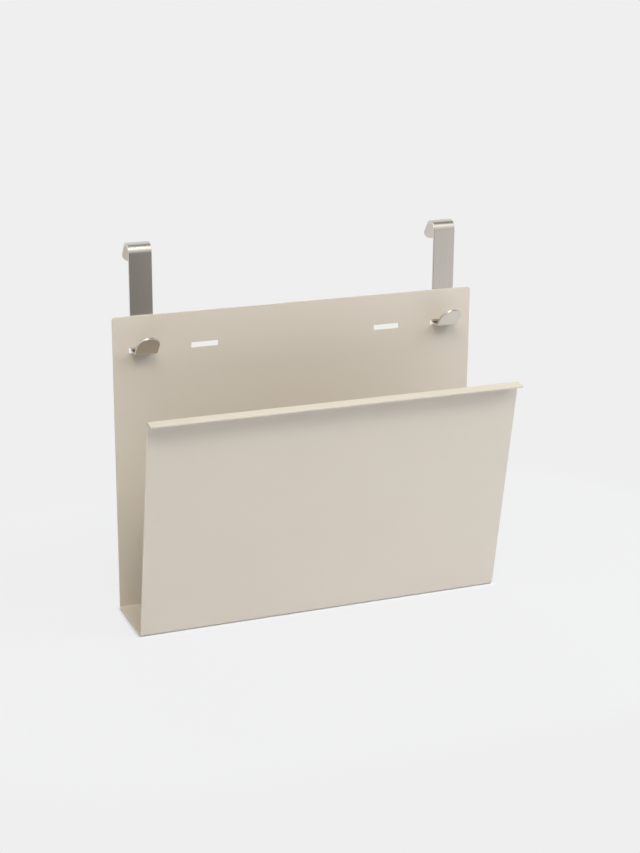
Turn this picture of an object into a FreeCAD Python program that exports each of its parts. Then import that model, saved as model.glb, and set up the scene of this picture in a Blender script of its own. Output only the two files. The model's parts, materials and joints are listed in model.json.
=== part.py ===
"""Magazine holder: one folded sheet pocket and two strap hangers, in millimetres.

+X is to the right, +Y to the back and +Z up. The origin is the centre of the base's flat
underside. A strap hanger hooks through each outer slot of the back plate, lies against the
plate's back at rest and tips backwards about its own lower bend.
"""

import FreeCAD, Part

import math
import os

import Sketcher

# Driving dimensions, in millimetres and degrees. Lengths of bent pieces run to the sharp
# corners in which their flats would meet: every bend takes its share off the flats beside it.
SIZES = {
    # the folded sheet: front_drop is how far the lip's back edge lies below the plate's top,
    # and lip_reach runs from the back of the front panel to the lip's front edge
    "holder_width": 328.0,
    "plate_height": 260.5,
    "base_depth": 64.5,
    "front_drop": 60.4,
    "front_lean": 9.85,
    "lip_reach": 11.2,
    "lip_turn": 90.0,
    "sheet_thickness": 1.5,
    "bend_radius": 1.2,
    "corner_radius": 3.0,
    # the slots in the back plate, larger than the strap that passes through them: slot_drop is
    # measured from the plate's top, slot_inset from its side, and slot_pitch is the distance
    # from an outer slot to the inner slot beside it
    "slot_side_play": 2.0,
    "slot_lift_play": 2.4,
    "slot_drop": 29.4,
    "slot_inset": 26.0,
    "slot_pitch": 54.4,
    # the strap hangers: hook_rise is how far they stand above the plate, and floor_reach how
    # far they come out in front of it
    "strap_width": 20.0,
    "strap_thickness": 2.0,
    "tip_flat": 0.4,
    "hook_rise": 60.0,
    "hook_radius": 6.0,
    "hook_turn": 143.0,
    "hook_tail": 19.5,
    "seat_radius": 2.0,
    "floor_reach": 9.2,
    "tongue_radius": 2.0,
    "tongue_lean": 39.0,
    "tongue_length": 21.0,
    # room between a hanger and the sheet it hangs in
    "hanger_clearance": 0.2,
}

# Sizes that follow from the driving ones
SLOT_WIDTH = "(sizes.strap_width + 2 * sizes.slot_side_play)"
SLOT_HEIGHT = "(sizes.strap_thickness + sizes.slot_lift_play)"
OUTER_SLOT = "(sizes.holder_width / 2 - sizes.slot_inset)"
INNER_SLOT = f"({OUTER_SLOT} - sizes.slot_pitch)"
PLATE_BACK = "(sizes.base_depth / 2)"
TIP_RADIUS = "(sizes.strap_width - sizes.tip_flat) / 2"

# How near a measured place has to be to count as the one that is looked for
NEAR = 0.01

doc = FreeCAD.newDocument("magazine_holder")


def make_sizes():
    """The spreadsheet that holds every driving dimension under its own name."""
    sheet = doc.addObject("Spreadsheet::Sheet", "sizes")
    for row, (alias, value) in enumerate(SIZES.items(), start=1):
        sheet.set(f"A{row}", alias)
        sheet.set(f"B{row}", str(value))
        sheet.setAlias(f"B{row}", alias)
    doc.recompute()
    return sheet


def origin_plane(body, role):
    """One of the body's own origin planes."""
    return next(part for part in body.Origin.OriginFeatures if part.Role == role)


def new_sketch(body, name, role):
    """An empty sketch on one of the body's origin planes."""
    sketch = body.newObject("Sketcher::SketchObject", name)
    sketch.AttachmentSupport = [(origin_plane(body, role), "")]
    sketch.MapMode = "FlatFace"
    return sketch


def bind(sketch, constraint, name, expression):
    """Adds a constraint, names it and ties it to the spreadsheet."""
    index = sketch.addConstraint(constraint)
    sketch.renameConstraint(index, name)
    sketch.setExpression(f"Constraints.{name}", expression)


def value_of(owner, expression):
    """The number that an expression of spreadsheet cells stands for."""
    result = owner.evalExpression(expression)
    return float(getattr(result, "Value", result))


def face_points(sketch, start, heading, runs, bends, thickness, side):
    """Lines and arcs of one face of a bent strip, worked out by walking along it.

    side is +1 for the face on the walker's left and -1 for the one on the right.
    """
    x, y = start
    shapes = []
    for step, (_, run) in enumerate(runs):
        length = value_of(sketch, run)
        ahead = FreeCAD.Vector(math.cos(heading), math.sin(heading), 0)
        end = FreeCAD.Vector(x, y, 0) + ahead * length
        shapes.append(Part.LineSegment(FreeCAD.Vector(x, y, 0), end))
        x, y = end.x, end.y
        if step == len(bends):
            break
        _, radius, turn, way = bends[step]
        inner = value_of(sketch, radius)
        radius = inner if side == way else inner + thickness
        left = FreeCAD.Vector(-ahead.y, ahead.x, 0)
        centre = end + left * (way * radius)
        swept = math.radians(value_of(sketch, turn))
        first = heading - way * math.pi / 2
        last = first + way * swept
        low, high = min(first, last), max(first, last)
        circle = Part.Circle(centre, FreeCAD.Vector(0, 0, 1), radius)
        shapes.append(Part.ArcOfCircle(circle, low, high))
        x = centre.x + radius * math.cos(last)
        y = centre.y + radius * math.sin(last)
        heading += way * swept
    return shapes


def strip_profile(sketch, start, heading, runs, bends, thickness):
    """The closed side view of a strip of even thickness: flat runs joined by round bends.

    runs are (name, length) pairs. bends are (name, inner radius, turn, way), where way is
    +1 for a bend to the left along the walk and -1 for one to the right. Lengths, radii,
    turns and the thickness are expressions. Returns the index of every flat of the left
    face and of the right face. The first flat's direction and place are left to the caller.
    """
    thick = value_of(sketch, thickness)
    left_start = FreeCAD.Vector(*start, 0)
    across = FreeCAD.Vector(math.sin(heading), -math.cos(heading), 0) * thick
    right_start = left_start + across
    faces = []
    for side, first in ((1, left_start), (-1, right_start)):
        shapes = face_points(sketch, (first.x, first.y), heading, runs, bends, thick, side)
        faces.append([sketch.addGeometry(shape, False) for shape in shapes])
    left, right = faces

    for side, face in ((1, left), (-1, right)):
        for step, bend in enumerate(bends):
            line, arc, after = face[2 * step : 2 * step + 3]
            way = bend[3]
            arc_in, arc_out = (1, 2) if way > 0 else (2, 1)
            sketch.addConstraint(Sketcher.Constraint("Tangent", line, 2, arc, arc_in))
            sketch.addConstraint(Sketcher.Constraint("Tangent", after, 1, arc, arc_out))
            if side == way:
                radius = Sketcher.Constraint("Radius", arc, value_of(sketch, bend[1]))
                bind(sketch, radius, bend[0] + "_radius", bend[1])
            if side == 1:
                turn = Sketcher.Constraint("Angle", arc, math.radians(value_of(sketch, bend[2])))
                bind(sketch, turn, bend[0] + "_turn", bend[2])
    for step in range(len(bends)):
        arcs = left[2 * step + 1], right[2 * step + 1]
        sketch.addConstraint(Sketcher.Constraint("Coincident", arcs[0], 3, arcs[1], 3))
    for step, (name, run) in enumerate(runs):
        pair = left[2 * step], right[2 * step]
        sketch.addConstraint(Sketcher.Constraint("Parallel", *pair))
        length = Sketcher.Constraint("Distance", pair[0], value_of(sketch, run))
        bind(sketch, length, name + "_run", run)

    for end, flat in ((1, 0), (2, -1)):
        one, other = left[flat], right[flat]
        geometry = sketch.Geometry
        points = [
            geometry[index].StartPoint if end == 1 else geometry[index].EndPoint
            for index in (one, other)
        ]
        cap = sketch.addGeometry(Part.LineSegment(*points), False)
        sketch.addConstraint(Sketcher.Constraint("Coincident", cap, 1, one, end))
        sketch.addConstraint(Sketcher.Constraint("Coincident", cap, 2, other, end))
        sketch.addConstraint(Sketcher.Constraint("Perpendicular", cap, one))
        if end == 1:
            bind(sketch, Sketcher.Constraint("Distance", cap, thick), "thickness", thickness)
    return left[::2], right[::2]


def pad_to_width(body, sketch, name, width):
    """Pads a side view to its full width, half to each side of the middle."""
    pad = body.newObject("PartDesign::Pad", name)
    pad.Profile = sketch
    pad.SideType = "Symmetric"
    pad.setExpression("Length", width)
    doc.recompute()
    return pad


def edges_where(shape, test):
    """Names of the edges that pass a test of their middle and their direction."""
    names = []
    for number, edge in enumerate(shape.Edges, start=1):
        if edge.Curve.TypeId != "Part::GeomLine":
            continue
        ends = [vertex.Point for vertex in edge.Vertexes]
        middle = (ends[0] + ends[1]) / 2
        along = (ends[1] - ends[0]).normalize()
        if test(middle, along, edge.Length):
            names.append(f"Edge{number}")
    return names


def round_edges(body, base, name, edges, radius):
    """Rounds the named edges of a feature."""
    fillet = body.newObject("PartDesign::Fillet", name)
    fillet.Base = (base, edges)
    fillet.setExpression("Radius", radius)
    doc.recompute()
    return fillet


def add_rectangle(sketch, name, across, up, width, height):
    """A rectangle in a sketch, centred at (across, up), all given as expressions.

    across keeps the sign of its value, so that a rectangle can lie on either side.
    """
    centre_x, centre_y, half_width, half_height = (
        value_of(sketch, text) for text in (across, up, f"{width} / 2", f"{height} / 2")
    )
    corners = [
        FreeCAD.Vector(centre_x + sx * half_width, centre_y + sy * half_height, 0)
        for sx, sy in ((-1, -1), (1, -1), (1, 1), (-1, 1))
    ]
    lines = [
        sketch.addGeometry(Part.LineSegment(corners[i], corners[(i + 1) % 4]), False)
        for i in range(4)
    ]
    for i in range(4):
        joint = Sketcher.Constraint("Coincident", lines[i], 2, lines[(i + 1) % 4], 1)
        sketch.addConstraint(joint)
    for kind, line in zip(("Horizontal", "Vertical", "Horizontal", "Vertical"), lines):
        sketch.addConstraint(Sketcher.Constraint(kind, line))
    low = corners[0]
    bottom, upright = lines[:2]
    measures = (
        ("width", ("DistanceX", bottom, 1, bottom, 2, 2 * half_width), width),
        ("height", ("DistanceY", upright, 1, upright, 2, 2 * half_height), height),
        ("low_x", ("DistanceX", -1, 1, bottom, 1, low.x), f"{across} - {width} / 2"),
        ("low_y", ("DistanceY", -1, 1, bottom, 1, low.y), f"{up} - {height} / 2"),
    )
    for part, constraint, expression in measures:
        bind(sketch, Sketcher.Constraint(*constraint), f"{name}_{part}", expression)


def make_pocket_sheet():
    """The folded sheet: back plate, base, leaning front panel and lip, with four slots."""
    body = doc.addObject("PartDesign::Body", "pocket_sheet")
    body.Label = "pocket_sheet"

    outside = "(sizes.bend_radius + sizes.sheet_thickness)"
    half_turn = "tan((90 - sizes.front_lean) / 2)"
    runs = [
        ("plate", f"sizes.plate_height - {outside}"),
        ("base", f"sizes.base_depth - {outside} * (1 + {half_turn})"),
        (
            "panel",
            "(sizes.plate_height - sizes.front_drop - sizes.sheet_thickness)"
            " / cos(sizes.front_lean)"
            f" - sizes.bend_radius * {half_turn} - {outside} * tan(sizes.lip_turn / 2)",
        ),
        ("lip", f"sizes.lip_reach - {outside} * tan(sizes.lip_turn / 2)"),
    ]
    bends = [
        ("back_fold", "sizes.bend_radius", "90", -1),
        ("front_fold", "sizes.bend_radius", "90 - sizes.front_lean", -1),
        ("lip_fold", "sizes.bend_radius", "sizes.lip_turn", 1),
    ]
    profile = new_sketch(body, "side_view", "YZ_Plane")
    top = (value_of(profile, PLATE_BACK), value_of(profile, "sizes.plate_height"))
    back_face, _ = strip_profile(
        profile, top, math.radians(-90), runs, bends, "sizes.sheet_thickness"
    )
    plate = back_face[0]
    profile.addConstraint(Sketcher.Constraint("Vertical", plate))
    place_y = Sketcher.Constraint("DistanceX", -1, 1, plate, 1, top[0])
    bind(profile, place_y, "plate_back", PLATE_BACK)
    place_z = Sketcher.Constraint("DistanceY", -1, 1, plate, 1, top[1])
    bind(profile, place_z, "plate_top", "sizes.plate_height")
    folded = pad_to_width(body, profile, "folded_sheet", "sizes.holder_width")

    height = value_of(body, "sizes.plate_height")
    thickness = value_of(body, "sizes.sheet_thickness")

    def is_top_corner(middle, along, length):
        through = abs(along.y) > 1 - NEAR and length < thickness + NEAR
        return through and abs(middle.z - height) < NEAR

    corners = edges_where(folded.Shape, is_top_corner)
    rounded = round_edges(body, folded, "top_corners", corners, "sizes.corner_radius")

    slots = new_sketch(body, "slot_outlines", "XZ_Plane")
    places = {
        "left_outer": f"-{OUTER_SLOT}",
        "left_inner": f"-{INNER_SLOT}",
        "right_inner": INNER_SLOT,
        "right_outer": OUTER_SLOT,
    }
    for name, across in places.items():
        add_rectangle(
            slots, name, across, "sizes.plate_height - sizes.slot_drop", SLOT_WIDTH, SLOT_HEIGHT
        )
    before = rounded.Shape.Volume
    cut = body.newObject("PartDesign::Pocket", "slots")
    cut.Profile = slots
    cut.Type = "Length"
    cut.Reversed = False
    cut.setExpression("Length", f"{PLATE_BACK} + sizes.sheet_thickness")
    doc.recompute()
    removed = before - cut.Shape.Volume
    one_slot = value_of(body, f"{SLOT_WIDTH} * {SLOT_HEIGHT} * sizes.sheet_thickness")
    if abs(removed - len(places) * one_slot) > NEAR * one_slot:
        raise ValueError(f"the slots took {removed:.1f} mm3 out of the plate")
    return body


def make_hanger(name, side):
    """A bent strap: tongue, floor through the slot, strap behind the plate, hook and tail."""
    body = doc.addObject("PartDesign::Body", name)
    body.Label = name

    front_face = f"({PLATE_BACK} + sizes.hanger_clearance)"
    slot_bottom = f"(sizes.plate_height - sizes.slot_drop - {SLOT_HEIGHT} / 2)"
    underside = f"({slot_bottom} + sizes.hanger_clearance)"
    seat_outside = "(sizes.seat_radius + sizes.strap_thickness)"
    tongue_outside = "(sizes.tongue_radius + sizes.strap_thickness)"
    hook_outside = "(sizes.hook_radius + sizes.strap_thickness)"
    tongue_turn = "(90 - sizes.tongue_lean)"
    runs = [
        ("tongue", f"sizes.tongue_length - {tongue_outside} * tan({tongue_turn} / 2)"),
        (
            "floor",
            "sizes.floor_reach + sizes.sheet_thickness + sizes.hanger_clearance"
            f" - sizes.seat_radius - {tongue_outside} * tan({tongue_turn} / 2)",
        ),
        (
            "strap",
            f"sizes.plate_height + sizes.hook_rise - {hook_outside} - {underside} - {seat_outside}",
        ),
        ("tail", "sizes.hook_tail"),
    ]
    bends = [
        ("tongue_bend", "sizes.tongue_radius", tongue_turn, 1),
        ("seat_bend", "sizes.seat_radius", "90", 1),
        ("hook_bend", "sizes.hook_radius", "sizes.hook_turn", -1),
    ]
    profile = new_sketch(body, "side_view", "YZ_Plane")
    reach, tongue, lean, front, low = (
        value_of(profile, text)
        for text in (
            f"{PLATE_BACK} - sizes.sheet_thickness - sizes.floor_reach",
            "sizes.tongue_length",
            "sizes.tongue_lean",
            front_face,
            underside,
        )
    )
    lean = math.radians(lean)
    thick = value_of(profile, "sizes.strap_thickness")
    tip = (
        reach - tongue * math.sin(lean) + thick * math.cos(lean),
        low + tongue * math.cos(lean) + thick * math.sin(lean),
    )
    upper_face, under_face = strip_profile(
        profile, tip, lean - math.pi / 2, runs, bends, "sizes.strap_thickness"
    )
    strap = upper_face[2]
    floor = under_face[1]
    profile.addConstraint(Sketcher.Constraint("Vertical", strap))
    place_y = Sketcher.Constraint("DistanceX", -1, 1, strap, 1, front)
    bind(profile, place_y, "strap_front", front_face)
    place_z = Sketcher.Constraint("DistanceY", -1, 1, floor, 1, low)
    bind(profile, place_z, "floor_underside", underside)
    bent = pad_to_width(body, profile, "bent_strap", "sizes.strap_width")

    half_width = value_of(body, "sizes.strap_width / 2")

    def is_tip_corner(middle, along, length):
        on_side = abs(along.x) < NEAR and abs(abs(middle.x) - half_width) < NEAR
        return on_side and abs(length - thick) < NEAR

    corners = edges_where(bent.Shape, is_tip_corner)
    round_edges(body, bent, "round_tips", corners, TIP_RADIUS)
    body.setExpression(".Placement.Base.x", f"{side} * {OUTER_SLOT}")
    doc.recompute()
    return body


def check(bodies):
    """Stops before anything is written if a feature failed or a solid is not sound."""
    for thing in doc.Objects:
        if {"Invalid", "Error"} & set(thing.State):
            raise ValueError(f"{thing.Name} failed: {thing.State}")
    for sketch in doc.findObjects("Sketcher::SketchObject"):
        if sketch.solve() != 0:
            raise ValueError(f"{sketch.Name} has constraints that can't be met")
    for body in bodies:
        shape = body.Shape
        if shape.isNull() or not shape.isValid() or len(shape.Solids) != 1:
            raise ValueError(f"{body.Label} is not one sound solid")


def write(bodies):
    """One STEP file for each sub-part, named after it."""
    os.makedirs("parts", exist_ok=True)
    for body in bodies:
        body.Shape.exportStep(f"parts/{body.Label}.step")
        box = body.Shape.BoundBox
        print(
            f"{body.Label}: {body.Shape.Volume:.1f} mm3,"
            f" x {box.XMin:.2f} to {box.XMax:.2f},"
            f" y {box.YMin:.2f} to {box.YMax:.2f},"
            f" z {box.ZMin:.2f} to {box.ZMax:.2f}"
        )


sizes = make_sizes()
parts = [
    make_pocket_sheet(),
    make_hanger("left_hanger", -1),
    make_hanger("right_hanger", 1),
]
doc.recompute()
check(parts)
write(parts)
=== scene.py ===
# %% [markdown]
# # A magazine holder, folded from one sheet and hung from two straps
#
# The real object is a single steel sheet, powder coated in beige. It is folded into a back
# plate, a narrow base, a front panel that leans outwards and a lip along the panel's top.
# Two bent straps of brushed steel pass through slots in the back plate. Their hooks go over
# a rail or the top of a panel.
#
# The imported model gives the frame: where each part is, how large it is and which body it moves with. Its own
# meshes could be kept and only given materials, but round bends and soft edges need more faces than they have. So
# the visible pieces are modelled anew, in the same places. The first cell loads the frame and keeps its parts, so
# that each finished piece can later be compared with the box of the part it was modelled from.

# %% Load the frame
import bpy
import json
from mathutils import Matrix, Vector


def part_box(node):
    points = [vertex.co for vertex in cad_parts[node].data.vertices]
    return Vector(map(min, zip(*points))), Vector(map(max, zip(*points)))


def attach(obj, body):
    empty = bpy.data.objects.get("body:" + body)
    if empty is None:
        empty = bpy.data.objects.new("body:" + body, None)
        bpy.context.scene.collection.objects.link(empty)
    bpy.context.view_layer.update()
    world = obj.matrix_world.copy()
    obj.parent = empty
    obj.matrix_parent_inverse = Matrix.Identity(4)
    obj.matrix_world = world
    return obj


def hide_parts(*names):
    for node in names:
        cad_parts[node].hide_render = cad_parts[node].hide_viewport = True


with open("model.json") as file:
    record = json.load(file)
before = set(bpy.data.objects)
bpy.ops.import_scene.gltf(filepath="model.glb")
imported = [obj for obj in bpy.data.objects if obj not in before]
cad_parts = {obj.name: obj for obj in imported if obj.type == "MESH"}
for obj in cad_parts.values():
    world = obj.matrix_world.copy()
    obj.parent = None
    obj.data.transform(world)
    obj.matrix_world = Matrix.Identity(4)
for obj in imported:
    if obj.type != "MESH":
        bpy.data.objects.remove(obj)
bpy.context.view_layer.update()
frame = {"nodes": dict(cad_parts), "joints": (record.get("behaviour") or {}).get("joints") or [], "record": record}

print("the frame holds", sorted(frame["nodes"]))

# %% [markdown]
# ## Sizes
#
# Everything is in metres, so a sheet of 1.5 mm is written as 1.5 * MM. The outside sizes and
# the places of the hinges, hooks and slots are read from the frame, so that the model can't
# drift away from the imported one. What the frame can't tell, such as thicknesses, bend radii,
# angles and the lengths of short flats, is written where it is first needed.

# %% Outside sizes and named places
import json
import math

import bmesh
import bpy
from mathutils import Matrix, Vector

MM = 0.001
QUARTER = math.radians(90)

sheet_low, sheet_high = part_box("pocket_sheet")
WIDTH = sheet_high.x - sheet_low.x
PLATE_HEIGHT = sheet_high.z
PLATE_BACK = sheet_high.y
BASE_DEPTH = 2 * PLATE_BACK
print(f"sheet: {WIDTH / MM:.1f} wide, {PLATE_HEIGHT / MM:.1f} high, {BASE_DEPTH / MM:.1f} deep")

mounts = {mount["name"]: Vector(mount["pos_m"]) for mount in frame["record"]["mounts"]}
hinges = {joint["child"]: Vector(joint["pos_m"]) for joint in frame["joints"]}
INNER_SLOT = mounts["right_inner_slot"].x
OUTER_SLOT = hinges["right_hanger"].x
print(f"slots: {INNER_SLOT / MM:.1f} and {OUTER_SLOT / MM:.1f} from the middle")

# %% [markdown]
# ## Tools for folding
#
# A press brake makes this object by holding a flat sheet and folding its free end, one bend
# after the other. The side view could also be drawn as one outline and extruded sideways,
# but then the points of each bend would have to be worked out by hand. Here the model is
# made as the object is: extruding the free edge makes a flat, and spinning it about an axis
# makes a bend. After either, the new free edge is selected, so the next move carries on
# from there. Both helpers work in the side view. A heading is an angle from +Y towards +Z,
# and a positive turn goes the same way round.

# %% Helpers that extrude a flat and spin a bend
STEPS_PER_QUARTER = 14


def side_vector(angle):
    """A unit vector in the side view, at an angle from +Y towards +Z."""
    return Vector((0, math.cos(angle), math.sin(angle)))


def run_on(place, heading, length):
    """Extrudes the selected edge straight on. Returns its new place."""
    step = side_vector(heading) * length
    bpy.ops.mesh.extrude_region_move(TRANSFORM_OT_translate={"value": step})
    return place + step


def bend_on(place, heading, radius, turn):
    """Spins the selected edge round a bend. Returns its new place and heading."""
    way = math.copysign(1, turn)
    centre = place + side_vector(heading + QUARTER) * radius * way
    steps = round(STEPS_PER_QUARTER * abs(turn) / QUARTER)
    bpy.ops.mesh.spin(steps=steps, angle=abs(turn), center=centre, axis=(-way, 0, 0))
    arm = Matrix.Rotation(turn, 3, "X") @ (place - centre)
    return centre + arm, heading + turn


print("a square bend has", STEPS_PER_QUARTER, "steps")

# %% Helpers that start a flat and pick parts of it
NEAR = 0.01 * MM


def start_flat(name, across, width, y, low, high):
    """An upright rectangle, centred at across, at depth y, from height low to high."""
    bpy.ops.object.select_all(action="DESELECT")
    bpy.ops.mesh.primitive_plane_add(
        size=1, location=(across, y, (low + high) / 2), rotation=(QUARTER, 0, 0)
    )
    piece = bpy.context.object
    piece.name = piece.data.name = name
    piece.scale = (width, high - low, 1)
    bpy.ops.object.transform_apply(location=True, rotation=True, scale=True)
    return piece


def pick(piece, kind, test):
    """Selects only the parts that pass the test, in edit mode. Returns how many there are."""
    bpy.ops.mesh.select_mode(type=kind)
    bpy.ops.mesh.select_all(action="DESELECT")
    shape = bmesh.from_edit_mesh(piece.data)
    parts = {"VERT": shape.verts, "EDGE": shape.edges, "FACE": shape.faces}[kind]
    chosen = [part for part in parts if test(part)]
    for part in chosen:
        part.select_set(True)
    bmesh.update_edit_mesh(piece.data)
    return len(chosen)


def lies_at_height(height):
    """A test that an edge's two ends both lie at a height."""
    return lambda edge: all(abs(end.co.z - height) < NEAR for end in edge.verts)


def round_corners(piece, test, radius, steps):
    """Rounds the free corners whose places pass the test, by bevelling their points."""
    bpy.ops.object.mode_set(mode="EDIT")
    corners = pick(piece, "VERT", lambda point: len(point.link_edges) == 2 and test(point.co))
    bpy.ops.mesh.bevel(offset=radius, segments=steps, affect="VERTICES")
    bpy.ops.object.mode_set(mode="OBJECT")
    print(f"{piece.name}: {corners} corners rounded by {radius / MM:.1f}")


print("places count as equal within", NEAR / MM, "mm")

# %% [markdown]
# ## The folded sheet
#
# On the real object this is one blank of steel sheet with three folds. Four boxes, one for
# each flat, would be quicker to make, but they would meet in sharp corners. So the outside
# of the sheet is modelled first, as a surface with no thickness: the back plate's back, the
# base's underside, the panel's front and the lip's underside. Thickness comes later from a
# modifier, which keeps it even round every fold. The plate starts as one upright rectangle,
# which ends where its lower bend begins. A flat between two bends is as long as its
# sharp-cornered length less each bend's share, the radius times the tangent of half the
# turn.

# %% Back plate
SHEET_THICKNESS = 1.5 * MM
FOLD_INSIDE = 1.2 * MM
FOLD_OUTSIDE = FOLD_INSIDE + SHEET_THICKNESS

sheet = start_flat("folded_sheet", 0, WIDTH, PLATE_BACK, FOLD_OUTSIDE, PLATE_HEIGHT)
print("back plate:", [round(side / MM, 1) for side in sheet.dimensions])

# %% Base and leaning front panel
FRONT_LEAN = math.radians(9.85)
FRONT_DROP = 60.4 * MM
FRONT_TURN = QUARTER - FRONT_LEAN
HALF_TURN = math.tan(FRONT_TURN / 2)
PANEL_LENGTH = (PLATE_HEIGHT - FRONT_DROP - SHEET_THICKNESS) / math.cos(FRONT_LEAN)

bpy.ops.object.mode_set(mode="EDIT")
pick(sheet, "EDGE", lies_at_height(FOLD_OUTSIDE))
place, heading = bend_on(Vector((0, PLATE_BACK, FOLD_OUTSIDE)), -QUARTER, FOLD_OUTSIDE, -QUARTER)
place = run_on(place, heading, BASE_DEPTH - FOLD_OUTSIDE * (1 + HALF_TURN))
place, heading = bend_on(place, heading, FOLD_OUTSIDE, -FRONT_TURN)
place = run_on(place, heading, PANEL_LENGTH - FOLD_INSIDE * HALF_TURN - FOLD_OUTSIDE)
print(f"the panel ends {place.z / MM:.1f} up and {-place.y / MM:.1f} in front of the middle")

# %% Lip
LIP_REACH = 11.2 * MM

place, heading = bend_on(place, heading, FOLD_INSIDE, QUARTER)
place = run_on(place, heading, LIP_REACH - FOLD_OUTSIDE)
bpy.ops.object.mode_set(mode="OBJECT")
print(f"the lip ends {-place.y / MM:.1f} in front, {len(sheet.data.polygons)} faces so far")

# %% [markdown]
# ## Slots and corners
#
# A laser cuts the four slots and rounds the plate's top corners while the sheet is still
# flat. A Boolean with four boxes would cut the slots too, but it needs a solid, and the
# sheet is still a surface. Here two level cuts with Bisect give the plate a thin band.
# Upright cuts through the band alone mark the slots' ends, and the faces between them are
# deleted. Bevelling the two top corner points, not their edges, rounds the plate's outline.


# %% Helpers that find the plate and cut it
def on_plate(low=0.0, high=PLATE_HEIGHT, left=-WIDTH, right=WIDTH):
    """A test that a face lies on the back plate, within a height and a stretch of width."""

    def test(face):
        middle = face.calc_center_bounds()
        upright = abs(middle.y - PLATE_BACK) < NEAR and abs(face.normal.y) > 1 - NEAR
        return upright and low < middle.z < high and left < middle.x < right

    return test


def cut(place, normal, test):
    """Cuts the faces that pass the test along a plane."""
    pick(sheet, "FACE", test)
    bpy.ops.mesh.bisect(plane_co=place, plane_no=normal)


print(f"the plate's faces lie {PLATE_BACK / MM:.1f} behind the middle")

# %% Cut the slots
SLOT_WIDTH = 24.0 * MM
SLOT_HEIGHT = 4.4 * MM
SLOT_LEVEL = mounts["left_inner_slot"].z
SLOT_LOW = SLOT_LEVEL - SLOT_HEIGHT / 2
SLOT_HIGH = SLOT_LEVEL + SLOT_HEIGHT / 2
slots = [
    (middle - SLOT_WIDTH / 2, middle + SLOT_WIDTH / 2)
    for middle in (-OUTER_SLOT, -INNER_SLOT, INNER_SLOT, OUTER_SLOT)
]

bpy.ops.object.mode_set(mode="EDIT")
for level in (SLOT_LOW, SLOT_HIGH):
    cut((0, 0, level), (0, 0, 1), on_plate())
for ends in slots:
    for end in ends:
        cut((end, 0, 0), (1, 0, 0), on_plate(SLOT_LOW, SLOT_HIGH))
for left, right in slots:
    found = pick(sheet, "FACE", on_plate(SLOT_LOW, SLOT_HIGH, left, right))
    bpy.ops.mesh.delete(type="FACE")
    print(f"slot from {left / MM:.1f} to {right / MM:.1f}: {found} face taken out")
bpy.ops.object.mode_set(mode="OBJECT")

# %% Round the top corners
CORNER_RADIUS = 3.0 * MM
CORNER_STEPS = 8

round_corners(sheet, lambda at: at.z > PLATE_HEIGHT - NEAR, CORNER_RADIUS, CORNER_STEPS)

# %% [markdown]
# ## Thickness and soft edges
#
# The real sheet is equally thick all over, and the coat softens its cut edges. Solidify
# gives the surface its thickness, measured square to it, so it has to know which way is out.
# The faces are first made to agree, and all of them are flipped if they face the wrong way.
# A narrow Bevel then softens the cut edges and lets them catch the light. A Subdivision
# Surface could round them too, but it would also pull the flats out of shape. Last, Weighted
# Normal lets each large flat keep its own normal, so that no shading creeps from a bend into
# the flat beside it.

# %% Helpers that turn faces and apply modifiers
EDGE_STEPS = 3
EDGE_ANGLE = math.radians(40)
SHARP_ANGLE = math.radians(35)


def face_outwards(piece, outwards):
    """Makes all faces agree, with the largest one square to outwards facing along it."""
    bpy.ops.object.mode_set(mode="EDIT")
    bpy.ops.mesh.select_all(action="SELECT")
    bpy.ops.mesh.remove_doubles(threshold=NEAR)
    bpy.ops.mesh.normals_make_consistent(inside=False)
    faces = bmesh.from_edit_mesh(piece.data).faces
    flat = max(faces, key=lambda face: abs(face.normal.dot(outwards)) * face.calc_area())
    if flat.normal.dot(outwards) < 0:
        bpy.ops.mesh.flip_normals()
    bpy.ops.object.mode_set(mode="OBJECT")


def apply_modifier(piece, kind, **settings):
    """Adds a modifier with its settings and applies it."""
    modifier = piece.modifiers.new(kind.lower(), kind)
    for name, value in settings.items():
        setattr(modifier, name, value)
    bpy.ops.object.modifier_apply(modifier=modifier.name)


def thicken(piece, thickness, edge):
    """Gives the surface its thickness and its soft edges, and smooths its shading."""
    apply_modifier(piece, "SOLIDIFY", thickness=thickness, offset=-1, use_even_offset=True)
    apply_modifier(
        piece, "BEVEL", width=edge, segments=EDGE_STEPS, limit_method="ANGLE",
        angle_limit=EDGE_ANGLE, use_clamp_overlap=True,
    )
    bpy.ops.object.shade_smooth_by_angle(angle=SHARP_ANGLE)
    apply_modifier(piece, "WEIGHTED_NORMAL", mode="FACE_AREA", weight=50, keep_sharp=True)
    print(f"{piece.name}: {len(piece.data.polygons)} faces")


print("cut edges get", EDGE_STEPS, "steps each")

# %% Finish the sheet
SHEET_EDGE = 0.3 * MM

face_outwards(sheet, Vector((0, 1, 0)))
thicken(sheet, SHEET_THICKNESS, SHEET_EDGE)

# %% [markdown]
# ## The strap hangers
#
# Each hanger is a strip of steel, bent into a hook above and into a floor and a tongue
# below. Both are the same, so one is modelled and copied. A curve with a flat profile could
# follow the same path, but its ends would be hard to round. So the strip is folded as the
# sheet was. Work starts with the upright flat behind the plate, on the face that lies
# towards it. Its top edge is spun into the hook, whose round bend turns further than a
# bevelled corner could. Its bottom edge is spun forwards into the floor that passes through
# the slot, and then up into the leaning tongue. The strip's left edge is followed from end
# to end while its tips are still square, because the brushing needs that path later. Then
# the tips are rounded.

# %% Strap and hook
STRAP_THICKNESS = 2.0 * MM
STRAP_GAP = 0.2 * MM
STRAP_FRONT = PLATE_BACK + STRAP_GAP
HOOK_RADIUS = 6.0 * MM
HOOK_TURN = math.radians(143)
HOOK_TAIL = 19.5 * MM
SEAT_LEVEL = hinges["left_hanger"].z
HOOK_LEVEL = mounts["left_hook_seat"].z
hanger_low, hanger_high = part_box("left_hanger")
STRAP_WIDTH = hanger_high.x - hanger_low.x

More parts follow.
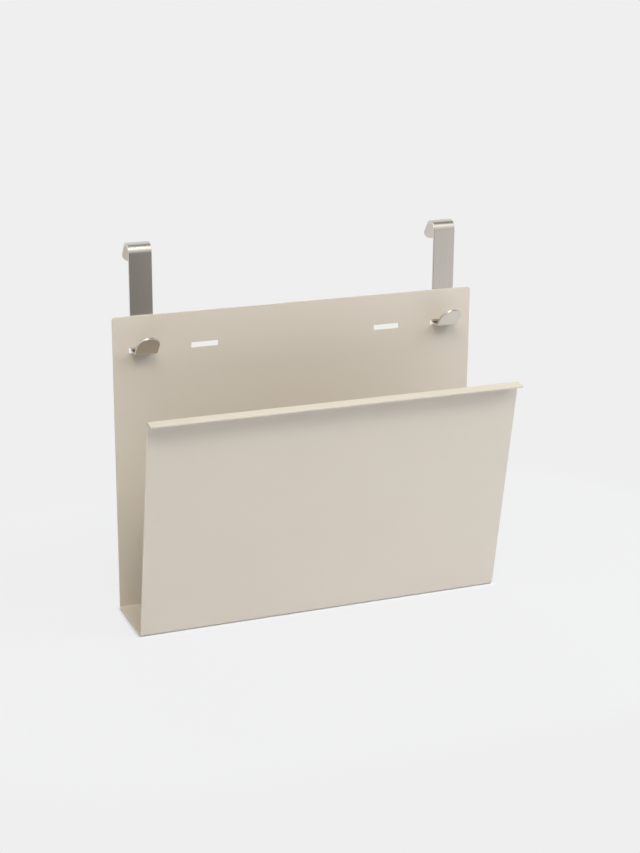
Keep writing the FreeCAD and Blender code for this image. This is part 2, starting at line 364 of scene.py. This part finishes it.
strap = start_flat("left_strap", -OUTER_SLOT, STRAP_WIDTH, STRAP_FRONT, SEAT_LEVEL, HOOK_LEVEL)
bpy.ops.object.mode_set(mode="EDIT")
pick(strap, "EDGE", lies_at_height(HOOK_LEVEL))
place, heading = bend_on(
    Vector((0, STRAP_FRONT, HOOK_LEVEL)), QUARTER, HOOK_RADIUS + STRAP_THICKNESS, -HOOK_TURN
)
place = run_on(place, heading, HOOK_TAIL)
print(f"the hook's tail ends {(place.y - STRAP_FRONT) / MM:.1f} behind the strap's front")

# %% Floor and tongue
SEAT_RADIUS = 2.0 * MM
FLOOR_REACH = 9.2 * MM
TONGUE_RADIUS = 2.0 * MM
TONGUE_LEAN = math.radians(39)
TONGUE_LENGTH = 21.0 * MM
TONGUE_TURN = QUARTER - TONGUE_LEAN
TONGUE_SHARE = (TONGUE_RADIUS + STRAP_THICKNESS) * math.tan(TONGUE_TURN / 2)
FLOOR_LENGTH = FLOOR_REACH + SHEET_THICKNESS + STRAP_GAP - SEAT_RADIUS - TONGUE_SHARE

pick(strap, "EDGE", lies_at_height(SEAT_LEVEL))
place, heading = bend_on(Vector((0, STRAP_FRONT, SEAT_LEVEL)), -QUARTER, SEAT_RADIUS, -QUARTER)
place = run_on(place, heading, FLOOR_LENGTH)
place, heading = bend_on(place, heading, TONGUE_RADIUS, -TONGUE_TURN)
place = run_on(place, heading, TONGUE_LENGTH - TONGUE_SHARE)
print(f"the tongue ends {(place.z - SEAT_LEVEL) / MM:.1f} above the hinge")

# %% Follow the strip from end to end
bpy.ops.object.mode_set(mode="OBJECT")


def strip_path(piece):
    """The places along the strip's left edge, in order from one end to the other."""
    mesh = piece.data
    left = min(point.co.x for point in mesh.vertices)
    beside = {point.index: [] for point in mesh.vertices if point.co.x < left + NEAR}
    for edge in mesh.edges:
        start, end = edge.vertices
        if start in beside and end in beside:
            beside[start].append(end)
            beside[end].append(start)
    order = [next(point for point, others in beside.items() if len(others) == 1)]
    while len(order) < len(beside):
        order.append(next(point for point in beside[order[-1]] if point not in order[-2:]))
    return [Vector((0, *mesh.vertices[point].co.yz)) for point in order]


path = strip_path(strap)
length = sum((end - start).length for start, end in zip(path, path[1:]))
print(f"the strip has {len(path)} rows and is {length / MM:.1f} long")

# %% Round the tips and finish the strap
TIP_RADIUS = 9.8 * MM
TIP_STEPS = 14
STRAP_EDGE = 0.5 * MM

round_corners(strap, lambda at: True, TIP_RADIUS, TIP_STEPS)
face_outwards(strap, Vector((0, -1, 0)))
thicken(strap, STRAP_THICKNESS, STRAP_EDGE)

# %% [markdown]
# ## A map for the brushing
#
# Brushing follows the strap round its bends, so its pattern can't be laid out in plain
# space. Smart UV Project could lay it out flat, but in islands that would break the
# scratches. So each corner of each face is given a place on a flat map, in metres: across
# the strap, and along the path that was followed before the tips were rounded. The cut edges
# are folded out beside the face, by as much as they lie below it. The steel's material
# reads this map for its pattern and for the direction in which its shine is drawn out.


# %% Lay out the map
def place_on_path(point):
    """How far along the path the point is, how far off it, and which way the path runs."""
    at = Vector((0, *point.yz))
    found = []
    before = 0.0
    for start, end in zip(path, path[1:]):
        run = end - start
        share = min(1.0, max(0.0, (at - start).dot(run) / run.length_squared))
        found.append(((start + run * share - at).length, before + run.length * share, run))
        before += run.length
    depth, along, run = min(found, key=lambda place: place[0])
    return along, depth, run.normalized()


grain = strap.data.uv_layers.new(name="grain")
places = [place_on_path(point.co) for point in strap.data.vertices]
for face in strap.data.polygons:
    for corner in face.loop_indices:
        point = strap.data.vertices[strap.data.loops[corner].vertex_index]
        along, depth, run = places[point.index]
        grain.data[corner].uv = (
            point.co.x + depth * face.normal.x, along + depth * face.normal.dot(run)
        )
print("mapped", len(grain.data), "corners")

# %% Copy the strap
bpy.ops.object.select_all(action="DESELECT")
strap.select_set(True)
bpy.ops.object.duplicate(linked=False)
other_strap = bpy.context.object
other_strap.name = other_strap.data.name = "right_strap"
other_strap.data.transform(Matrix.Translation((2 * OUTER_SLOT, 0, 0)))
print("copied to", other_strap.name)

# %% [markdown]
# ## Powder coat
#
# The beige coat is baked powder. It is satin, a little short of matt, and its surface has
# the fine ripple that is called orange peel, with finer grit in it. Its colour is even, so
# the mottling is only just there. Modelling the ripple would take millions of faces, and
# bump alone would look like a print of bumps, so the roughness varies with the same ripple.
# An index of 1.62, above the 1.5 that the shader starts with, lifts the sheen at slanting
# angles. Values that are the same all over are set on the shader itself. A pattern has a
# scale, which is roughly how many of its features fit in a metre, and a detail. A bump has a
# strength and a height.


# %% Helpers that build a material
def new_material(name, colour, roughness, metallic=0.0):
    """A material with its shader's plain values set. Returns its node tree and shader too."""
    material = bpy.data.materials.new(name)
    material.use_nodes = True
    tree = material.node_tree
    shader = tree.nodes["Principled BSDF"]
    shader.inputs["Base Color"].default_value = (*colour, 1)
    shader.inputs["Roughness"].default_value = roughness
    shader.inputs["Metallic"].default_value = metallic
    return material, tree, shader


def add_noise(tree, vector, scale, detail, roughness=0.5):
    """A noise texture that reads a vector output."""
    noise = tree.nodes.new("ShaderNodeTexNoise")
    noise.inputs["Scale"].default_value = scale
    noise.inputs["Detail"].default_value = detail
    noise.inputs["Roughness"].default_value = roughness
    tree.links.new(vector, noise.inputs["Vector"])
    return noise.outputs["Fac"]


def add_ramp(tree, factor, low, high, start=0.3, end=0.7):
    """A ramp from one colour or grey to another, over the noise's usual range."""
    ramp = tree.nodes.new("ShaderNodeValToRGB")
    for stop, position, value in zip(ramp.color_ramp.elements, (start, end), (low, high)):
        stop.position = position
        stop.color = (*value, 1) if isinstance(value, tuple) else (value, value, value, 1)
    tree.links.new(factor, ramp.inputs["Fac"])
    return ramp.outputs["Color"]


def add_bump(tree, height, strength, distance, below=None):
    """A bump that reads a height, on top of another bump where there is one."""
    bump = tree.nodes.new("ShaderNodeBump")
    bump.inputs["Strength"].default_value = strength
    bump.inputs["Distance"].default_value = distance
    tree.links.new(height, bump.inputs["Height"])
    if below is not None:
        tree.links.new(below, bump.inputs["Normal"])
    return bump.outputs["Normal"]


print("materials so far:", len(bpy.data.materials))

# %% Beige powder coat
COAT_COLOUR = (0.611, 0.552, 0.471)
COAT_LIGHTER = (0.623, 0.564, 0.483)
COAT_INDEX = 1.62
CLOUDS = 9.0, 3.0
PEEL = 620.0, 2.0
GRIT = 2600.0, 1.0
PEEL_ROUGHNESS = 0.46, 0.56
PEEL_BUMP = 0.30, 0.06 * MM
GRIT_BUMP = 0.20, 0.02 * MM

powder_coat, tree, shader = new_material("beige_powder_coat", COAT_COLOUR, roughness=0.5)
shader.inputs["IOR"].default_value = COAT_INDEX
in_space = tree.nodes.new("ShaderNodeTexCoord").outputs["Object"]
cloud = add_noise(tree, in_space, *CLOUDS)
tree.links.new(add_ramp(tree, cloud, COAT_COLOUR, COAT_LIGHTER), shader.inputs["Base Color"])

peel = add_noise(tree, in_space, *PEEL)
grit = add_noise(tree, in_space, *GRIT)
tree.links.new(add_ramp(tree, peel, *PEEL_ROUGHNESS), shader.inputs["Roughness"])
ripple = add_bump(tree, peel, *PEEL_BUMP)
tree.links.new(add_bump(tree, grit, *GRIT_BUMP, ripple), shader.inputs["Normal"])
print("made", powder_coat.name, "with", len(tree.nodes), "nodes")

# %% [markdown]
# ## Brushed steel
#
# The straps are bare steel with a satin brushed finish. Belt brushing leaves fine scratches
# along the strap. They could be modelled or painted one by one, but a noise that is drawn
# out a hundredfold along the map gives as many as are wanted. The scratches change the
# roughness and the bump a little, and faint broad streaks change the colour, as rolled strip
# has them. Light is spread across the scratches more than along them. The anisotropic
# setting does that, and a tangent from the same map gives it its direction.

# %% Satin brushed steel
STEEL_COLOUR = (0.695, 0.652, 0.596)
STEEL_LIGHTER = (0.712, 0.669, 0.614)
STEEL_STRETCH = 0.6
SCRATCH_SIZE = 0.14 * MM, 14 * MM
STREAK_SIZE = 2.5 * MM, 90 * MM
SCRATCH_ROUGHNESS = 0.27, 0.33
SCRATCH_BUMP = 0.10, 0.003 * MM

brushed_steel, tree, shader = new_material(
    "brushed_steel", STEEL_COLOUR, roughness=0.3, metallic=1.0
)
shader.inputs["Anisotropic"].default_value = STEEL_STRETCH
grain_map = tree.nodes.new("ShaderNodeUVMap")
grain_map.uv_map = grain.name
tangent = tree.nodes.new("ShaderNodeTangent")
tangent.direction_type = "UV_MAP"
tangent.uv_map = grain.name
tree.links.new(tangent.outputs["Tangent"], shader.inputs["Tangent"])


def stretched(across, along):
    """The map, scaled so that a noise of scale 1 has streaks of this width and length."""
    mapping = tree.nodes.new("ShaderNodeMapping")
    mapping.inputs["Scale"].default_value = (1 / across, 1 / along, 1)
    tree.links.new(grain_map.outputs["UV"], mapping.inputs["Vector"])
    return mapping.outputs["Vector"]


scratches = add_noise(tree, stretched(*SCRATCH_SIZE), 1.0, detail=3.0, roughness=0.6)
streaks = add_noise(tree, stretched(*STREAK_SIZE), 1.0, detail=2.0)
tree.links.new(add_ramp(tree, streaks, STEEL_COLOUR, STEEL_LIGHTER), shader.inputs["Base Color"])
tree.links.new(add_ramp(tree, scratches, *SCRATCH_ROUGHNESS), shader.inputs["Roughness"])
tree.links.new(add_bump(tree, scratches, *SCRATCH_BUMP), shader.inputs["Normal"])
print("made", brushed_steel.name, "with", len(tree.nodes), "nodes")

# %% [markdown]
# ## Join the pieces to the frame
#
# The coated sheet stands still, and each strap tips in its slot. Keyframes or parents could
# move them, but the frame already has the bodies and their hinges. So each piece gets its
# material, rides on the body that it moves with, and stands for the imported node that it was
# modelled from. Its box is compared with that node's.

# %% Materials, bodies and nodes
for piece, material, body, node, slot_name in (
    (sheet, powder_coat, "holder", "pocket_sheet", "pocket_sheet"),
    (strap, brushed_steel, "left_hanger", "left_hanger", "hangers"),
    (other_strap, brushed_steel, "right_hanger", "right_hanger", "hangers"),
):
    piece.data.materials.clear()
    piece.data.materials.append(material)
    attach(piece, body)
    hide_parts(node)
    low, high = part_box(node)
    corners = [piece.matrix_world @ Vector(corner) for corner in piece.bound_box]
    apart = max(
        abs(pick_end(corner[axis] for corner in corners) - limit[axis])
        for pick_end, limit in ((min, low), (max, high))
        for axis in range(3)
    )
    print(f"{piece.name} replaces {node}, its box is within {apart / MM:.3f} mm")

# %% [markdown]
# ## Floor and backdrop
#
# The holder stands on plain pale paper that runs up into a backdrop of the same grey. The
# paper could simply be lit, but it would darken away from the lamps and carry the object's
# whole shadow. So the camera sees both as an even grey, apart from the paper's real shadow
# close to the folded foot. Gloss sees them too, because bare metal shows whatever stands
# round it. All other light that leaves the paper is that of real lit paper. A dark cloth
# hangs in front of the object, as photographers hang one to give metal its dark tones. It
# belongs in reflections alone, so it is painted into what gloss sees of the floor, and later
# of the room. Its side edges are turns from straight ahead, in radians, and near the foot it
# gives way to the grey. Each edge is a pair of values, between which the cloth fades.

# %% Floor
FLOOR_SIZE = 30
FLOOR_DROP = 0.1 * MM
PAPER_COLOUR = (0.82, 0.84, 0.89)

bpy.ops.object.select_all(action="DESELECT")
bpy.ops.mesh.primitive_plane_add(size=FLOOR_SIZE, location=(0, 0, 0))
floor = bpy.context.object
floor.name = "floor"
floor.data.transform(Matrix.Translation((0, 0, -FLOOR_DROP)))
floor_paper, tree, paper = new_material("floor_paper", PAPER_COLOUR, roughness=0.9)
paper.inputs["Specular IOR Level"].default_value = 0.0
floor.data.materials.append(floor_paper)
print(f"{floor.name}: {FLOOR_SIZE} m wide, {FLOOR_DROP / MM:.1f} mm below the foot")


# %% Helpers for sums with nodes
def work_out(tree, operation, *values):
    """A Math node that reads outputs or plain numbers."""
    node = tree.nodes.new("ShaderNodeMath")
    node.operation = operation
    for socket, value in zip(node.inputs, values):
        if isinstance(value, (int, float)):
            socket.default_value = value
        else:
            tree.links.new(value, socket)
    return node.outputs["Value"]


def ease(tree, value, start, end, low=0.0, high=1.0):
    """Turns a value that runs from start to end into one that runs from low to high."""
    node = tree.nodes.new("ShaderNodeMapRange")
    node.interpolation_type = "SMOOTHSTEP"
    limits = {"From Min": start, "From Max": end, "To Min": low, "To Max": high}
    for name, limit in limits.items():
        node.inputs[name].default_value = limit
    tree.links.new(value, node.inputs["Value"])
    return node.outputs["Result"]


def product(tree, first, *others):
    """All the outputs or numbers multiplied."""
    for other in others:
        first = work_out(tree, "MULTIPLY", first, other)
    return first


def largest(tree, first, *others):
    """The largest of the outputs or numbers."""
    for other in others:
        first = work_out(tree, "MAXIMUM", first, other)
    return first


print("the paper starts with", len(tree.nodes), "nodes")

# %% Helpers for rays, directions and shaders
CLOTH_RIGHT_EDGE = 0.11, 0.54
CLOTH_LEFT_EDGE = -0.60, -1.05


def blend_shaders(tree, factor, first, second):
    """Blends two shaders by a factor."""
    node = tree.nodes.new("ShaderNodeMixShader")
    tree.links.new(factor, node.inputs["Fac"])
    tree.links.new(first, node.inputs[1])
    tree.links.new(second, node.inputs[2])
    return node.outputs["Shader"]


def kinds_of_ray(tree):
    """Whether a ray is the camera's own, and whether it is that or one from gloss or glass."""
    rays = tree.nodes.new("ShaderNodeLightPath").outputs
    own = rays["Is Camera Ray"]
    return own, largest(tree, own, rays["Is Glossy Ray"], rays["Is Transmission Ray"])


def sides_of(tree, vector):
    """The X, Y and Z of a vector output."""
    node = tree.nodes.new("ShaderNodeSeparateXYZ")
    tree.links.new(vector, node.inputs["Vector"])
    return [node.outputs[side] for side in "XYZ"]


def clear_of_cloth(tree, across, along):
    """0 straight in front of the object, where the dark cloth hangs, and 1 round the rest."""
    turn = work_out(tree, "ARCTAN2", across, product(tree, along, -1))
    right = ease(tree, turn, *CLOTH_RIGHT_EDGE)
    left = ease(tree, turn, *CLOTH_LEFT_EDGE)
    return largest(tree, right, left)


right_edge = [round(math.degrees(turn)) for turn in CLOTH_RIGHT_EDGE]
print("the cloth's right edge fades between these degrees:", right_edge)

# %% Shadow kept near the foot
SHADOW_SHOWN = 0.09
SHADOW_REACH = 4 * MM
SHADOW_FADE = 0.02, 0.30

own_ray, shown_ray = kinds_of_ray(tree)
x, y = sides_of(tree, tree.nodes.new("ShaderNodeTexCoord").outputs["Object"])[:2]
squares = []
for side, half in ((x, WIDTH / 2), (y, PLATE_BACK)):
    beyond = work_out(tree, "SUBTRACT", work_out(tree, "ABSOLUTE", side), half)
    beyond = largest(tree, beyond, 0.0)
    squares.append(product(tree, beyond, beyond))
from_foot = work_out(tree, "SQRT", work_out(tree, "ADD", *squares))
contact = ease(tree, from_foot, 0.0, SHADOW_REACH, 0.0, 1 - SHADOW_SHOWN)
evenness = largest(tree, contact, ease(tree, from_foot, *SHADOW_FADE))
print(f"beyond {SHADOW_REACH / MM:.0f} mm, at most {SHADOW_SHOWN} of the shadow shows")

# %% Even grey, and the cloth that gloss sees
BACKGROUND = (0.863, 0.863, 0.863)
DARK_CLOTH = (0.105, 0.094, 0.080)
CLOTH_ENDS = 0.60, 0.15

even = tree.nodes.new("ShaderNodeEmission")
close = ease(tree, from_foot, *CLOTH_ENDS)
brightness = largest(tree, own_ray, clear_of_cloth(tree, x, y), close)
greys = add_ramp(tree, brightness, DARK_CLOTH, BACKGROUND, 0.0, 1.0)
tree.links.new(greys, even.inputs["Color"])
shown = blend_shaders(tree, evenness, paper.outputs["BSDF"], even.outputs["Emission"])
whole = blend_shaders(tree, shown_ray, paper.outputs["BSDF"], shown)
tree.links.new(whole, tree.nodes["Material Output"].inputs["Surface"])
print("shaded", floor_paper.name, "with", len(tree.nodes), "nodes")

# %% [markdown]
# ## The room
#
# The world gives the soft light of a plain white room. The camera sees it as the backdrop's
# grey. Gloss sees a studio in it, fixed round the object: grey walls and ceiling, the dark
# cloth in front, a dark beam overhead that draws the fine line on top of each hook, and two
# lit panels with soft edges. The one ahead brightens the hooks' bends, and the one at the
# upper left gives the tongues' rims their glint. All this could be built from planes round
# the object, but they would also cast light and shadow on it. Painted by direction, it shows
# in reflections alone. A direction has three sides, across, along and up, and each edge of a
# shape is a pair of values between which it fades.

# %% Room light
ROOM_COLOUR = (1.0, 1.0, 1.03)
ROOM_STRENGTH = 0.35

world = bpy.data.worlds.new("studio")
bpy.context.scene.world = world
world.use_nodes = True
tree = world.node_tree
room = tree.nodes["Background"]
room.inputs["Color"].default_value = (*ROOM_COLOUR, 1)
room.inputs["Strength"].default_value = ROOM_STRENGTH
print("room light of", ROOM_STRENGTH)

# %% Walls and beam that gloss sees
WALLS_UP = -0.10, 0.40
BEAM_MIDDLE = -0.03
BEAM_HALF = 0.35, 0.25
BEAM_UP = 0.55, 0.75
BEAM_END = -0.12, 0.06
BEAM_DARKNESS = 0.85

own_ray, shown_ray = kinds_of_ray(tree)
across, along, up = sides_of(tree, tree.nodes.new("ShaderNodeTexCoord").outputs["Generated"])


def off_line(middle):
    """How far a direction is, along the room, from a line that runs across overhead."""
    return work_out(tree, "ABSOLUTE", work_out(tree, "SUBTRACT", along, middle))


walls = clear_of_cloth(tree, across, along)
walls = largest(tree, walls, ease(tree, up, *WALLS_UP))
beam = product(
    tree,
    ease(tree, off_line(BEAM_MIDDLE), *BEAM_HALF, 0.0, BEAM_DARKNESS),
    ease(tree, up, *BEAM_UP),
    ease(tree, across, *BEAM_END),
)
brightness = product(tree, walls, work_out(tree, "SUBTRACT", 1.0, beam))
brightness = largest(tree, brightness, own_ray)
print("the beam takes", BEAM_DARKNESS, "of the walls' grey")

# %% Lit panels and backdrop
AHEAD_UP = 0.45, 0.65
AHEAD_ALONG = -0.28, -0.38
AHEAD_ACROSS = 0.30, 0.48
AHEAD_GLOW = 0.52, 0.27
LEFT_MIDDLE = -0.17
LEFT_HALF = 0.22, 0.12
LEFT_UP = 0.60, 0.80
LEFT_NEAR_END = 0.08, -0.06
LEFT_FAR_END = -0.48, -0.34
LEFT_GLOW = 3.4

panel_ahead = product(
    tree,
    ease(tree, up, *AHEAD_UP),
    ease(tree, along, *AHEAD_ALONG),
    ease(tree, across, *AHEAD_ACROSS, *AHEAD_GLOW),
)
panel_left = product(
    tree,
    ease(tree, off_line(LEFT_MIDDLE), *LEFT_HALF),
    ease(tree, up, *LEFT_UP),
    ease(tree, across, *LEFT_NEAR_END),
    ease(tree, across, *LEFT_FAR_END),
    LEFT_GLOW,
)
glow = largest(tree, panel_ahead, panel_left)
glow = product(tree, glow, work_out(tree, "SUBTRACT", 1.0, own_ray))

backdrop = tree.nodes.new("ShaderNodeBackground")
greys = add_ramp(tree, brightness, DARK_CLOTH, BACKGROUND, 0.0, 1.0)
tree.links.new(greys, backdrop.inputs["Color"])
tree.links.new(work_out(tree, "ADD", glow, 1.0), backdrop.inputs["Strength"])
whole = blend_shaders(
    tree, shown_ray, room.outputs["Background"], backdrop.outputs["Background"]
)
tree.links.new(whole, tree.nodes["World Output"].inputs["Surface"])
print("the world has", len(tree.nodes), "nodes")

# %% [markdown]
# ## Lamps
#
# A wide soft box hangs in front of the object and above it. A weaker one at the right fills
# the holder's front panel, and one behind lights the back of the plate for the views from
# there. A small lamp in front draws the crisp edge of the shadows under the tongues and the
# lip. A sun could light the object too, but its shadows would be hard all over. The three
# boxes would show in the steel as hard white shapes, so gloss doesn't see them: the room's
# lit panels stand for them there.

# %% Soft boxes
AIM = Vector((0, 0, 0.20))


def soft_box(name, place, size, power, colour):
    """A rectangular lamp that looks at the object."""
    lamp = bpy.data.lights.new(name, "AREA")
    lamp.shape = "RECTANGLE"
    lamp.size, lamp.size_y = size
    lamp.energy = power
    lamp.color = colour
    stand = bpy.data.objects.new(name, lamp)
    bpy.context.scene.collection.objects.link(stand)
    stand.location = place
    view = AIM - Vector(place)
    stand.rotation_euler = view.to_track_quat("-Z", "Y").to_euler()
    print(f"{name}: {power} W, {view.length:.2f} m away")
    return stand


front_box = soft_box("front_box", (-0.06, -0.82, 1.69), (3.2, 1.2), 18.6, (1.0, 0.97, 0.85))
right_box = soft_box("right_box", (1.30, -0.80, 1.25), (0.9, 0.9), 16.5, (0.925, 1.0, 1.13))
back_box = soft_box("back_box", (0.35, 1.55, 1.00), (1.2, 0.9), 12.5, (1.0, 0.98, 0.90))
soft_box("small_lamp", (-0.37, -1.08, 1.70), (0.35, 0.35), 8.0, (1.0, 0.95, 0.82))
for box in (front_box, right_box, back_box):
    box.visible_glossy = False

# %% [markdown]
# ## Camera
#
# The photograph was taken from a little above, at the holder's left front. The camera's
# place, its turn and its lens could be found by trying. They were worked out from the
# straight edges in the photograph instead, so that the model's edges fall on those.

# %% Camera
CAMERA_PLACE = Vector((-544.09, -1391.98, 638.85)) * MM
CAMERA_TURN = [math.radians(angle) for angle in (72.1465, -0.3807, -21.5559)]
LENS = 77.149
SENSOR_WIDTH = 36.0

camera = bpy.data.objects.new("camera", bpy.data.cameras.new("camera"))
camera.data.lens = LENS
camera.data.sensor_width = SENSOR_WIDTH
camera.location = CAMERA_PLACE
camera.rotation_euler = CAMERA_TURN
bpy.context.scene.collection.objects.link(camera)
bpy.context.scene.camera = camera
bpy.context.scene.view_settings.view_transform = "Standard"
print("camera at", [round(value, 3) for value in camera.location])
